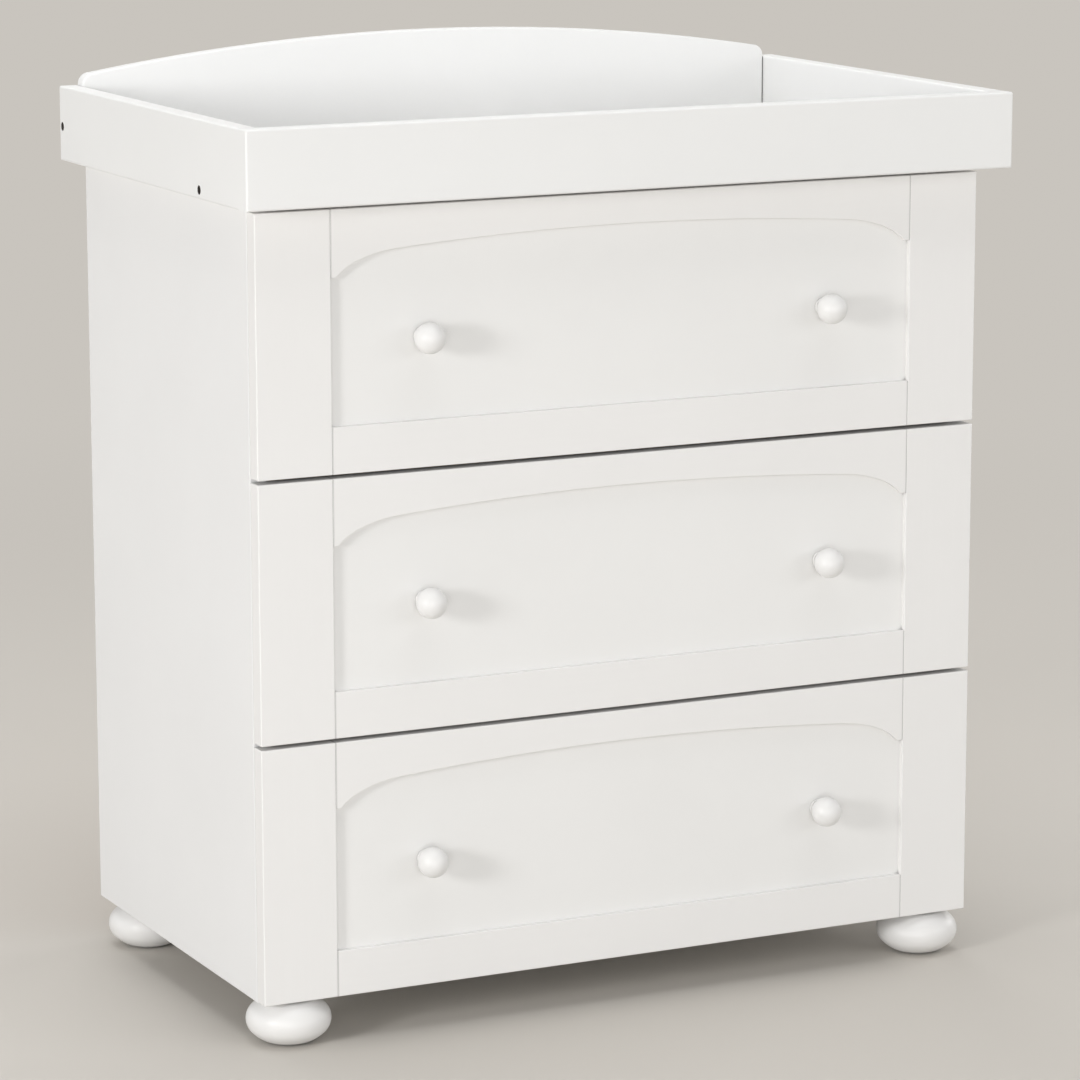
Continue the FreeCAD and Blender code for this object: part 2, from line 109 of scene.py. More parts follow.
def finishPiece(host, name, body, replaced):
    # the evaluated modifier becomes a plain mesh, which rides on its body
    graph = bpy.context.evaluated_depsgraph_get()
    mesh = bpy.data.meshes.new_from_object(host.evaluated_get(graph), depsgraph=graph)
    bpy.data.objects.remove(host)
    mesh.name = name
    while len(mesh.materials) > 1:  # the host's own empty slot
        mesh.materials.pop(index=0)
    piece = makeObject(name, mesh)
    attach(piece, body)
    if replaced:
        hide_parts(*replaced)
    print("piece:", name, len(mesh.polygons), "faces")


# materials: patterns read Object coordinates, so nothing slides when the view changes

alongX, alongY, alongZ = range(3)


def newMaterial(name):
    material = bpy.data.materials.new(name)
    material.use_nodes = True
    tree = material.node_tree
    return material, tree, tree.nodes["Principled BSDF"]


def objectNoise(tree, scale, stretch=(1, 1, 1), detail=3.0, roughness=0.55, shift=(0, 0, 0)):
    place = addNode(tree, "ShaderNodeTexCoord")
    mapping = addNode(tree, "ShaderNodeMapping")
    mapping.inputs["Scale"].default_value = stretch
    mapping.inputs["Location"].default_value = shift
    noise = addNode(tree, "ShaderNodeTexNoise")
    noise.inputs["Scale"].default_value = scale
    noise.inputs["Detail"].default_value = detail
    noise.inputs["Roughness"].default_value = roughness
    chain(tree, place.outputs["Object"], mapping.inputs["Vector"])
    chain(tree, mapping.outputs["Vector"], noise.inputs["Vector"])
    return noise.outputs["Fac"]


def stretched(grain, run):
    return [run if axis == grain else 1.0 for axis in range(3)]


def rangeOf(tree, value, low, high, fromLow=0.3, fromHigh=0.7):
    # the usual span of a noise, or another one, becomes low to high
    node = addNode(tree, "ShaderNodeMapRange")
    for name, number in zip(("From Min", "From Max", "To Min", "To Max"), (fromLow, fromHigh, low, high)):
        node.inputs[name].default_value = number
    chain(tree, value, node.inputs["Value"])
    return node.outputs["Result"]


def mixColours(tree, factor, first, second):
    node = addNode(tree, "ShaderNodeMix", data_type="RGBA")
    chain(tree, factor, node.inputs["Factor"])
    for socket, colour in ((node.inputs[6], first), (node.inputs[7], second)):
        if isinstance(colour, tuple):
            socket.default_value = (*colour, 1)
        else:
            chain(tree, colour, socket)
    return node.outputs[2]


def addBump(tree, shader, height, distance, below=None):
    node = addNode(tree, "ShaderNodeBump")
    node.inputs["Distance"].default_value = distance
    chain(tree, height, node.inputs["Height"])
    if below is not None:
        chain(tree, below, node.inputs["Normal"])
    chain(tree, node.outputs["Normal"], shader.inputs["Normal"])
    return node.outputs["Normal"]


paintLook = {
    "board": (0.802, 0.801, 0.798),
    "frame": (0.808, 0.800, 0.789),  # solid wood under the paint, a little warmer
    "panel": (0.806, 0.802, 0.790),
    "tray": (0.808, 0.809, 0.801),
    "turned": (0.784, 0.778, 0.768),
    "deeper": 0.975,  # the darkest patches, as a share of the colour
    "patchesPerMetre": 4.0,
    "roughness": (0.42, 0.54),
    "sheenPerMetre": 9.0,
    "sheenShift": (3, 1, 2),  # keeps the sheen off the patches
    "turnedRoughness": (0.40, 0.48),
    "turnedCoat": 0.06,
    "coatRoughness": 0.12,
    "peelPerMetre": 420.0,
    "peelHeight": 0.00003,
    "grainPerMetre": 260.0,
    "grainRun": 0.022,  # share of the cross scale that the grain has along itself
    "grainHeight": 0.00005,
    "grainTint": 0.35,  # how much of the darker colour the grain takes
    "seamReach": 0.0060,  # how far from a neighbour the painted shade reaches
    "seam": 0.25,  # how dark the painted shade gets there, as a share of the colour
    "seamOpen": (0.10, 0.52),  # from a closed groove to just past a square corner, which reads 0.5
    "seamSamples": 8,
    "jointLine": (0.00084, 0.00168),  # the painted shade line of the joint's groove at the ends of a rail: where it fades, and its edge
    # how dark the painted joint shade is, as a share of the colour
    "jointShade": 0.72,
    "boreWallAndShade": (0.050, 0.043, 0.037),  # bare board inside the screw holes of the tray, darkened to near black as painted shade of the deep holes
    "boreHead": 0.0041,  # radius of the screw's head
    "boreWall": 0.0047,  # radius that takes in the hole's wall
    "boreFade": 0.00005,
    "boreMouth": 0.0003,  # the paint ends this deep
    "mouthFade": 0.0002,
}


def paint(name, tint, grain=None, roughness=None, coat=0.0):
    look = paintLook
    material, tree, shader = newMaterial(name)
    patches = objectNoise(tree, look["patchesPerMetre"], detail=4.0)
    deeper = tuple(look["deeper"] * value for value in look[tint])
    colour = mixColours(tree, rangeOf(tree, patches, 0, 1), look[tint], deeper)
    low, high = roughness or look["roughness"]
    sheen = objectNoise(tree, look["sheenPerMetre"], detail=5.0, shift=look["sheenShift"])
    chain(tree, rangeOf(tree, sheen, low, high), shader.inputs["Roughness"])
    peel = objectNoise(tree, look["peelPerMetre"], detail=1.0)
    normal = addBump(tree, shader, peel, look["peelHeight"])
    if grain is not None:
        streaks = objectNoise(tree, look["grainPerMetre"], stretched(grain, look["grainRun"]), detail=3.0)
        addBump(tree, shader, streaks, look["grainHeight"], below=normal)
        colour = mixColours(tree, rangeOf(tree, streaks, 0.0, look["grainTint"]), colour, deeper)
    if grain == alongX:  # the rails alone take the painted shade line of the joint grooves
        jointShaded = tuple(look["jointShade"] * value for value in look[tint])
        colour = mixColours(tree, besideJoints(tree), colour, jointShaded)
    if tint == "tray":
        # bare board and painted shade inside the screw holes
        colour = mixColours(tree, insideBores(tree), colour, look["boreWallAndShade"])
    # painted shade where neighbouring surfaces close in
    chain(tree, paintedSeamShade(tree, colour), shader.inputs["Base Color"])
    shader.inputs["Coat Weight"].default_value = coat
    shader.inputs["Coat Roughness"].default_value = look["coatRoughness"]
    return material


def paintedSeamShade(tree, colour):
    # painted shade in grooves, gaps and corners, darker where neighbouring surfaces close in
    look = paintLook
    near = addNode(tree, "ShaderNodeAmbientOcclusion", samples=look["seamSamples"])
    near.inputs["Distance"].default_value = look["seamReach"]
    shade = rangeOf(tree, near.outputs["AO"], look["seam"], 1, *look["seamOpen"])
    grey = addNode(tree, "ShaderNodeCombineColor")
    for channel in ("Red", "Green", "Blue"):
        chain(tree, shade, grey.inputs[channel])
    node = addNode(tree, "ShaderNodeMix", data_type="RGBA", blend_type="MULTIPLY")
    node.inputs["Factor"].default_value = 1.0
    chain(tree, colour, node.inputs[6])
    chain(tree, grey.outputs["Color"], node.inputs[7])
    return node.outputs[2]


def besideJoints(tree):
    # 1 along the lines where the rails of a front meet its stiles, where the painted joint shade goes
    place = addNode(tree, "ShaderNodeTexCoord")
    split = addNode(tree, "ShaderNodeSeparateXYZ")
    chain(tree, place.outputs["Object"], split.inputs["Vector"])
    value = split.outputs["X"]
    for shift in (0.0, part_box("drawer_1_stile_right")[0].x):
        value = calculate(tree, "ABSOLUTE", calculate(tree, "SUBTRACT", value, shift))
    return rangeOf(tree, value, 1, 0, *paintLook["jointLine"])


def insideBores(tree):
    # 1 on the walls of the screw holes in the tray boards, which get bare board darkened with painted shade
    low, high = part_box("tray_screws")
    look = paintLook
    head, wall = look["boreHead"], look["boreWall"]
    place = addNode(tree, "ShaderNodeTexCoord")
    split = addNode(tree, "ShaderNodeSeparateXYZ")
    flat = addNode(tree, "ShaderNodeCombineXYZ")
    chain(tree, place.outputs["Object"], split.inputs["Vector"])
    chain(tree, split.outputs["Y"], flat.inputs["Y"])
    chain(tree, split.outputs["Z"], flat.inputs["Z"])
    near = []
    for y, z in ((low.y + head, low.z + head), (high.y - head, high.z - head)):
        away = addNode(tree, "ShaderNodeVectorMath", operation="DISTANCE")
        away.inputs[1].default_value = (0, y, z)
        chain(tree, flat.outputs["Vector"], away.inputs[0])
        near.append(away.outputs["Value"])
    within = rangeOf(tree, calculate(tree, "MINIMUM", *near), 1, 0, wall, wall + look["boreFade"])
    mouth = cadHigh.x - look["boreMouth"]
    side = calculate(tree, "ABSOLUTE", split.outputs["X"])
    deep = rangeOf(tree, side, 1, 0, mouth - look["mouthFade"], mouth)
    return calculate(tree, "MULTIPLY", within, deep)


woodLooks = {
    "pine": {
        "pale": (0.760, 0.600, 0.400),
        "dark": (0.610, 0.420, 0.235),
        "ringsPerMetre": 34.0,
        "run": 0.05,
        "roughness": (0.38, 0.52),
    },
    "beech": {
        "pale": (0.640, 0.440, 0.285),
        "dark": (0.520, 0.330, 0.195),
        "ringsPerMetre": 70.0,
        "run": 0.08,
        "roughness": (0.45, 0.60),
    },
}
fibreLook = {
    "perMetre": 700.0,
    "run": 0.02,  # share of the cross scale that a fibre has along itself
    "tint": 0.45,
    "height": 0.00006,
    "ringEdges": (0.38, 0.62),  # where a ring turns from pale to dark
}


def bareWood(name, kind, grain):
    look = woodLooks[kind]
    material, tree, shader = newMaterial(name)
    ringStretch = stretched(grain, look["run"])
    rings = objectNoise(tree, look["ringsPerMetre"], ringStretch, detail=2.0, roughness=0.4)
    fibres = objectNoise(tree, fibreLook["perMetre"], stretched(grain, fibreLook["run"]), detail=2.0)
    banded = rangeOf(tree, rings, 0, 1, *fibreLook["ringEdges"])
    colour = mixColours(tree, banded, look["pale"], look["dark"])
    colour = mixColours(tree, rangeOf(tree, fibres, 0.0, fibreLook["tint"]), colour, look["dark"])
    chain(tree, colour, shader.inputs["Base Color"])
    low, high = look["roughness"]
    chain(tree, rangeOf(tree, fibres, low, high), shader.inputs["Roughness"])
    addBump(tree, shader, fibres, fibreLook["height"])
    return material


sheetLook = {
    "white": (0.790, 0.785, 0.765),
    "greyWhite": (0.770, 0.765, 0.745),
    "fibre": (0.355, 0.225, 0.125),
    "paleFibre": (0.455, 0.310, 0.185),
    "fibrePerMetre": 900.0,
    "fibreHeight": 0.00005,
    "cloudsPerMetre": 26.0,
    "cloudTint": 0.4,
    "roughness": (0.42, 0.78),  # of the white face and the brown one
    "turnOver": (0.4, 0.6),  # how squarely a face has to point for the brown to begin, and to be whole
}


def facedSheet(name, axis, sign):
    # thin board: white on its good face, pressed brown fibre on the face that points along sign times axis
    look = sheetLook
    material, tree, shader = newMaterial(name)
    place = addNode(tree, "ShaderNodeTexCoord")
    split = addNode(tree, "ShaderNodeSeparateXYZ")
    chain(tree, place.outputs["Normal"], split.inputs["Vector"])
    brownFrom, brownTo = (sign * value for value in look["turnOver"])
    isBrown = rangeOf(tree, split.outputs[axis], 0, 1, brownFrom, brownTo)
    fibres = objectNoise(tree, look["fibrePerMetre"], detail=3.0)
    clouds = objectNoise(tree, look["cloudsPerMetre"], detail=4.0)
    brown = mixColours(tree, rangeOf(tree, fibres, 0, 1), look["fibre"], look["paleFibre"])
    brown = mixColours(tree, rangeOf(tree, clouds, 0.0, look["cloudTint"]), brown, look["fibre"])
    white = mixColours(tree, rangeOf(tree, clouds, 0, 1), look["white"], look["greyWhite"])
    chain(tree, mixColours(tree, isBrown, white, brown), shader.inputs["Base Color"])
    chain(tree, rangeOf(tree, isBrown, *look["roughness"], 0, 1), shader.inputs["Roughness"])
    addBump(tree, shader, fibres, look["fibreHeight"])
    return material


metalLooks = {
    "zinc": {"pale": (0.66, 0.67, 0.69), "dark": (0.50, 0.51, 0.53), "roughness": (0.22, 0.38)},
    "cast": {"pale": (0.52, 0.53, 0.55), "dark": (0.38, 0.39, 0.41), "roughness": (0.42, 0.58)},
    "blotchesPerMetre": 320.0,
    "blotchHeight": 0.00002,
}


def metal(name, kind):
    look = metalLooks[kind]
    material, tree, shader = newMaterial(name)
    blotches = objectNoise(tree, metalLooks["blotchesPerMetre"], detail=4.0)
    colour = mixColours(tree, rangeOf(tree, blotches, 0, 1), look["pale"], look["dark"])
    chain(tree, colour, shader.inputs["Base Color"])
    low, high = look["roughness"]
    chain(tree, rangeOf(tree, blotches, low, high), shader.inputs["Roughness"])
    shader.inputs["Metallic"].default_value = 1.0
    addBump(tree, shader, blotches, metalLooks["blotchHeight"])
    return material


plasticLook = {
    "pale": (0.74, 0.75, 0.73),
    "dark": (0.68, 0.69, 0.67),
    "cloudsPerMetre": 500.0,
    "roughness": (0.28, 0.40),
    "clear": 0.25,
}


def softPlastic(name):
    look = plasticLook
    material, tree, shader = newMaterial(name)
    clouds = objectNoise(tree, look["cloudsPerMetre"], detail=2.0)
    colour = mixColours(tree, rangeOf(tree, clouds, 0, 1), look["pale"], look["dark"])
    chain(tree, colour, shader.inputs["Base Color"])
    chain(tree, rangeOf(tree, clouds, *look["roughness"]), shader.inputs["Roughness"])
    shader.inputs["Transmission Weight"].default_value = look["clear"]
    return material


finishes = {
    "boardPaint": paint("boardPaint", "board"),
    "trayPaint": paint("trayPaint", "tray"),
    "panelPaint": paint("panelPaint", "panel"),
    "uprightPaint": paint("uprightPaint", "frame", grain=alongZ),
    "levelPaint": paint("levelPaint", "frame", grain=alongX),
    "turnedPaint": paint("turnedPaint", "turned", roughness=paintLook["turnedRoughness"],
                         coat=paintLook["turnedCoat"]),
    "pineDeep": bareWood("pineDeep", "pine", alongY),
    "pineWide": bareWood("pineWide", "pine", alongX),
    "beechDeep": bareWood("beechDeep", "beech", alongY),
    "backSheet": facedSheet("backSheet", alongY, 1),
    "bottomSheet": facedSheet("bottomSheet", alongZ, -1),
    "zinc": metal("zinc", "zinc"),
    "castZinc": metal("castZinc", "cast"),
    "buffer": softPlastic("buffer"),
}
finishRules = {  # the first text that a node's name holds gives its finish
    "dowels": "beechDeep",
    "cam_fittings": "castZinc",
    "_screws": "zinc",
    "foot_bolts": "zinc",
    "back_panel": "backSheet",
    "tray_": "trayPaint",
    "guide_": "beechDeep",
    "foot_": "turnedPaint",
    "_stile_": "uprightPaint",
    "_rail": "levelPaint",
    "_knob_": "turnedPaint",
}
drawerRules = {
    "_panel": "panelPaint",
    "_side_": "pineDeep",
    "_bottom": "bottomSheet",
    "_back": "pineWide",
}


def finishOf(node):
    rules = dict(finishRules, **drawerRules) if node.startswith("drawer_") else finishRules
    return next((finish for part, finish in rules.items() if part in node), "boardPaint")


for name, node in nodes.items():
    node.data.materials.clear()
    node.data.materials.append(finishes[finishOf(name)])
print("materials:", len(finishes))


# turned parts and fasteners: a profile is spun, its recess cut, and the part set at every place

turnedLook = {  # sizes in millimetres: the cutter works better on them, and the last step makes them metres
    "axisRadius": 0.0001,
    "mergeWithin": 0.001,
    "sharpDegrees": 32,
    "toMetres": 0.001,
}


def cubeFor(tree, span, width, depth):
    size = addNode(tree, "ShaderNodeCombineXYZ")
    cube = addNode(tree, "GeometryNodeMeshCube")
    for axis, value in enumerate((span, width, depth)):
        chain(tree, value, size.inputs[axis])
    chain(tree, size.outputs["Vector"], cube.inputs["Size"])
    return cube.outputs["Mesh"]


def atHeight(tree, mesh, height, turned=0.0):
    place = addNode(tree, "ShaderNodeCombineXYZ")
    move = addNode(tree, "GeometryNodeTransform")
    chain(tree, height, place.inputs["Z"])
    chain(tree, place.outputs["Vector"], move.inputs["Translation"])
    move.inputs["Rotation"].default_value = (0, 0, turned)
    chain(tree, mesh, move.inputs["Geometry"])
    return move.outputs["Geometry"]


def turnedTree():
    look = turnedLook
    tree = bpy.data.node_groups.new("turnedParts", "GeometryNodeTree")
    tree.interface.new_socket("Geometry", in_out="OUTPUT", socket_type="NodeSocketGeometry")
    for label, kind in (("Places", "NodeSocketGeometry"), ("Profile", "NodeSocketObject"),
                        ("Segments", "NodeSocketInt"), ("Recess Span", "NodeSocketFloat"),
                        ("Recess Width", "NodeSocketFloat"), ("Recess Depth", "NodeSocketFloat"),
                        ("Recess Top", "NodeSocketFloat"), ("Hexagon", "NodeSocketBool"),
                        ("Cut", "NodeSocketBool"), ("Finish", "NodeSocketMaterial")):
        tree.interface.new_socket(label, in_out="INPUT", socket_type=kind)
    given = addNode(tree, "NodeGroupInput").outputs
    result = addNode(tree, "NodeGroupOutput")
    profile = addNode(tree, "GeometryNodeObjectInfo")
    circle = addNode(tree, "GeometryNodeCurvePrimitiveCircle")
    circle.inputs["Radius"].default_value = look["axisRadius"]
    sweep = addNode(tree, "GeometryNodeCurveToMesh")
    merge = addNode(tree, "GeometryNodeMergeByDistance")
    merge.inputs["Distance"].default_value = look["mergeWithin"]
    chain(tree, given["Profile"], profile.inputs["Object"])
    chain(tree, given["Segments"], circle.inputs["Resolution"])
    chain(tree, circle.outputs["Curve"], sweep.inputs["Curve"])
    chain(tree, profile.outputs["Geometry"], sweep.inputs["Profile Curve"])
    chain(tree, sweep.outputs["Mesh"], merge.inputs["Geometry"])
    cutLength = calculate(tree, "MULTIPLY", given["Recess Depth"], 2.0)  # half of it stands above the face
    slotCut = cubeFor(tree, given["Recess Span"], given["Recess Width"], cutLength)
    cross = addNode(tree, "GeometryNodeMeshBoolean", operation="UNION", solver="EXACT")
    chain(tree, atHeight(tree, slotCut, given["Recess Top"]), cross.inputs["Mesh 2"])
    chain(tree, atHeight(tree, slotCut, given["Recess Top"], math.pi / 2), cross.inputs["Mesh 2"])
    key = addNode(tree, "GeometryNodeMeshCylinder")
    key.inputs["Vertices"].default_value = 6  # a hexagon
    chain(tree, calculate(tree, "MULTIPLY", given["Recess Span"], 0.5), key.inputs["Radius"])
    chain(tree, cutLength, key.inputs["Depth"])
    choose = addNode(tree, "GeometryNodeSwitch", input_type="GEOMETRY")
    chain(tree, given["Hexagon"], choose.inputs["Switch"])
    chain(tree, cross.outputs["Mesh"], choose.inputs["False"])
    chain(tree, atHeight(tree, key.outputs["Mesh"], given["Recess Top"]), choose.inputs["True"])
    carve = addNode(tree, "GeometryNodeMeshBoolean", operation="DIFFERENCE", solver="EXACT")
    chain(tree, merge.outputs["Geometry"], carve.inputs["Mesh 1"])
    chain(tree, choose.outputs["Output"], carve.inputs["Mesh 2"])
    cutOrNot = addNode(tree, "GeometryNodeSwitch", input_type="GEOMETRY")
    chain(tree, given["Cut"], cutOrNot.inputs["Switch"])
    chain(tree, merge.outputs["Geometry"], cutOrNot.inputs["False"])
    chain(tree, carve.outputs["Mesh"], cutOrNot.inputs["True"])
    edgeAngle = addNode(tree, "GeometryNodeInputMeshEdgeAngle")
    sharp = addNode(tree, "FunctionNodeCompare", operation="GREATER_THAN")
    sharp.inputs["B"].default_value = math.radians(look["sharpDegrees"])
    chain(tree, edgeAngle.outputs["Unsigned Angle"], sharp.inputs["A"])
    smooth = addNode(tree, "GeometryNodeSetShadeSmooth", domain="FACE")
    crease = addNode(tree, "GeometryNodeSetShadeSmooth", domain="EDGE")
    crease.inputs["Shade Smooth"].default_value = False
    chain(tree, cutOrNot.outputs["Output"], smooth.inputs["Geometry"])
    chain(tree, smooth.outputs["Geometry"], crease.inputs["Geometry"])
    chain(tree, sharp.outputs["Result"], crease.inputs["Selection"])
    shrink = addNode(tree, "GeometryNodeTransform")
    shrink.inputs["Scale"].default_value = [look["toMetres"]] * 3
    chain(tree, crease.outputs["Geometry"], shrink.inputs["Geometry"])
    turn = addNode(tree, "GeometryNodeInputNamedAttribute", data_type="FLOAT_VECTOR")
    turn.inputs["Name"].default_value = "turn"
    toRotation = addNode(tree, "FunctionNodeEulerToRotation")
    chain(tree, turn.outputs["Attribute"], toRotation.inputs["Euler"])
    scatter = addNode(tree, "GeometryNodeInstanceOnPoints")
    chain(tree, given["Places"], scatter.inputs["Points"])
    chain(tree, shrink.outputs["Geometry"], scatter.inputs["Instance"])
    chain(tree, toRotation.outputs["Rotation"], scatter.inputs["Rotation"])
    realize = addNode(tree, "GeometryNodeRealizeInstances")
    dress = addNode(tree, "GeometryNodeSetMaterial")
    chain(tree, scatter.outputs["Instances"], realize.inputs["Geometry"])
    chain(tree, realize.outputs["Geometry"], dress.inputs["Geometry"])
    chain(tree, given["Finish"], dress.inputs["Material"])
    chain(tree, dress.outputs["Geometry"], result.inputs["Geometry"])
    return tree


turnedParts = turnedTree()

facing = {  # Euler turns that point a part's own +Z
    "front": (math.pi / 2, 0, 0),
    "rear": (-math.pi / 2, 0, 0),
    "right": (0, math.pi / 2, 0),
    "left": (0, -math.pi / 2, 0),
    "up": (0, 0, 0),
    "down": (math.pi, 0, 0),
}


def profileCurve(name, points):
    # points are (radius, height) in millimetres, from the near pole to the far one
    curve = bpy.data.curves.new(name, "CURVE")
    curve.dimensions = "3D"
    spline = curve.splines.new("POLY")
    spline.points.add(len(points) - 1)
    for point, (radius, height) in zip(spline.points, points):
        point.co = (radius, -height, 0, 1)  # the sweep turns a profile's y downwards
    return makeObject(name, curve)


def arc(centre, radius, start, end, steps):
    angles = [math.radians(start + (end - start) * step / steps) for step in range(steps + 1)]
    return [(centre[0] + radius * math.cos(a), centre[1] + radius * math.sin(a)) for a in angles]


def turnedPiece(name, body, replaced, look, places, finish):
    # each place is a point in metres, the way the part faces, and its turn about its own axis in degrees
    mesh = bpy.data.meshes.new(name + "Places")
    mesh.from_pydata([place[0] for place in places], [], [])
    turns = mesh.attributes.new("turn", "FLOAT_VECTOR", "POINT")
    for item, (_, way, spin) in zip(turns.data, places):
        turned = Euler(facing[way]).to_matrix() @ Matrix.Rotation(math.radians(spin), 3, "Z")
        item.vector = turned.to_euler()
    host = makeObject(name + "Host", mesh)
    profile = profileCurve(name + "Profile", look["profile"])
    modifier = host.modifiers.new("turnedParts", "NODES")
    modifier.node_group = turnedParts
    recess = look.get("recess", {})
    values = {
        "Profile": profile,
        "Segments": look["segments"],
        "Recess Span": recess.get("span", 1.0),
        "Recess Width": recess.get("width", 1.0),
        "Recess Depth": recess.get("depth", 1.0),
        "Recess Top": recess.get("top", 0.0),
        "Hexagon": recess.get("hexagon", False),
        "Cut": bool(recess),
        "Finish": finishes[finish],
    }
    for item in turnedParts.interface.items_tree:
        if item.in_out == "INPUT" and item.name in values:
            modifier[item.identifier] = values[item.name]
    finishPiece(host, name, body, replaced)
    bpy.data.objects.remove(profile)


def middleOf(low, high):
    return (low + high) / 2


knobLook = {  # millimetres
    "ball": 15.5,
    "reach": 35.5,
    "neck": 6.5,
    "foot": 9.0,
    "footHeight": 2.5,
    "footEdge": 0.7,
    "footEase": 0.6,  # share of that edge that the chamfer at the seat takes
    "neckJoin": 29.0,  # degrees off the ball's own axis where the neck's sweep meets it
    "bore": 2.1,
    "boreDepth": 15.2,
    "segments": 72,
    "steps": {"edge": 5, "neck": 12, "ball": 40},
}


def knobProfile():
    look = knobLook
    steps = look["steps"]
    ballMiddle = look["reach"] - look["ball"]
    joinRadius = look["ball"] * math.sin(math.radians(look["neckJoin"]))
    joinHeight = ballMiddle - look["ball"] * math.cos(math.radians(look["neckJoin"]))
    points = [(0, look["boreDepth"]), (look["bore"], look["boreDepth"]), (look["bore"], 0)]
    edge = look["footEdge"]
    ease = edge * look["footEase"]
    points += [(look["foot"] - ease, 0), (look["foot"], ease)]
    points += arc((look["foot"] - edge, look["footHeight"] - edge), edge, 0, 90, steps["edge"])
    waist = (joinHeight + look["footHeight"]) / 2
    half = (joinHeight - look["footHeight"]) / 2
    hollow = joinRadius - look["neck"]
    for step in range(steps["neck"] + 1):
        share = -1 + 2 * step / steps["neck"]
        points.append((look["neck"] + hollow * share ** 2, waist + half * share))
    points += arc((0, ballMiddle), look["ball"], look["neckJoin"] - 90, 90, steps["ball"])[1:]
    points[-1] = (0, look["reach"])
    return points


knobLook["profile"] = knobProfile()
for drawer in drawers:
    seats = []
    for side in ("left", "right"):
        low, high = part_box(f"{drawer}_knob_{side}")
        seats.append(((middleOf(low.x, high.x), high.y, middleOf(low.z, high.z)), "front", 0))
    names = [f"{drawer}_knob_left", f"{drawer}_knob_right"]
    turnedPiece(f"{drawer}_knobs", drawer, names, knobLook, seats, "turnedPaint")

knobScrewLook = {
    "segments": 32,
    "profile": [(0, -27), (0.7, -26.6), (2, -25.2), (2, 0), (4.0, 0), (4.2, 0.25), (4.2, 0.9)]
    + arc((0, -3.0), 5.6, 43, 90, 7)[1:],
    "recess": {"span": 4.6, "width": 0.95, "depth": 1.7, "top": 2.6},
    "spins": (20, 75),
}
for drawer in drawers:
    seats = []
    for side, spin in zip(("left", "right"), knobScrewLook["spins"]):
        low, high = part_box(f"{drawer}_knob_{side}")
        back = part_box(f"{drawer}_panel")[1].y
        seats.append(((middleOf(low.x, high.x), back, middleOf(low.z, high.z)), "rear", spin))
    names = [f"{drawer}_knob_screws"]
    turnedPiece(f"{drawer}_knob_screw_pair", drawer, names, knobScrewLook, seats, "zinc")

guideScrewLook = {
    "fromEnd": 0.035,
    "segments": 28,
    "profile": [(0, -20), (0.5, -19.4), (1.75, -16.5), (1.75, -2.2), (3.5, -0.15), (3.45, 0), (0, 0)],
    "recess": {"span": 4.2, "width": 0.8, "depth": 1.6, "top": 0.0},
    "perStrip": 3,
    "spinStep": 31,
    "spinOfSide": 13,
}


def spread(low, high, look, count):
    # places from end to end of a strip or board, the same distance apart
    first, last = low + look["fromEnd"], high - look["fromEnd"]
    return [first + (last - first) * step / (count - 1) for step in range(count)]


seats = []
for number in (1, 2, 3):
    for side, way, sign in (("right", "left", 1), ("left", "right", -1)):
        low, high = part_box(f"guide_{number}_{side}")
        inner = low.x if sign > 0 else high.x
        for step, y in enumerate(spread(low.y, high.y, guideScrewLook, guideScrewLook["perStrip"])):
            spin = guideScrewLook["spinStep"] * (step + number * 2) + guideScrewLook["spinOfSide"] * sign
            seats.append(((inner, y, middleOf(low.z, high.z)), way, spin))
turnedPiece("guide_strip_screws", "carcass", ["guide_screws"], guideScrewLook, seats, "zinc")

trayScrewLook = {
    "segments": 40,
    "profile": [(0, -42), (0.8, -41), (2.4, -37), (2.4, 0), (3.9, 0), (4.1, 0.2), (4.1, 4.5),
                (3.6, 5), (0, 5)],
    "recess": {"span": 4.6, "width": 1.0, "depth": 3.0, "top": 5.0, "hexagon": True},
    "headHeight": 0.005,
    "headRadius": paintLook["boreHead"],
    "spins": ((12, 40), (33, 13)),  # right and left, of the low pair and the rear pair
}
low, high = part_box("tray_screws")
seatX = high.x - trayScrewLook["headHeight"]
headRadius = trayScrewLook["headRadius"]
lowRow = (low.y + headRadius, low.z + headRadius)
rearRow = (high.y - headRadius, high.z - headRadius)
seats = []
for (y, z), (spinRight, spinLeft) in zip((lowRow, rearRow), trayScrewLook["spins"]):
    seats.append(((seatX, y, z), "right", spinRight))
    seats.append(((-seatX, y, z), "left", spinLeft))
turnedPiece("tray_socket_screws", "carcass", ["tray_screws"], trayScrewLook, seats, "zinc")

camLook = {
    "segments": 48,
    "profile": [(0, -12.5), (7.3, -12.5), (7.5, -12.3), (7.5, -0.5), (7.1, 0), (6.1, 0),
                (5.9, -0.35), (0, -0.35)],
    "recess": {"span": 9.0, "width": 1.8, "depth": 2.4, "top": -0.35},
    "radius": 0.0075,
    "depth": 0.0125,
    "spins": {"side": {1: (17, 55), -1: (17, -21)}, "base": {1: (25, -8), -1: (25, 58)}},
}
camBoltLook = {
    "segments": 24,
    "profile": [(0, 0), (2.6, 0), (3.0, 0.5), (3.0, 3.0), (1.8, 4.2), (1.8, 7.5), (3.0, 8.2), (3.0, 22.0),
                (2.5, 22.6), (3.0, 23.4), (2.5, 24.4), (3.0, 25.4), (2.5, 26.4), (3.0, 27.4), (2.5, 28.4),
                (3.0, 29.4), (2.5, 30.4), (3.0, 31.4), (2.5, 32.4), (3.0, 33.4), (2.2, 34.5), (0, 34.5)],
    "grip": 0.0025,  # from the cam's middle to the bolt's head
    "inset": 0.025,
}
low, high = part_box("cam_fittings")
rows = (low.y + camLook["radius"], high.y - camLook["radius"])
sideInner = high.x - camLook["depth"]
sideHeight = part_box("top_panel")[0].z - camBoltLook["inset"]
seats, boltSeats = [], []
middle = camLook["depth"] / 2
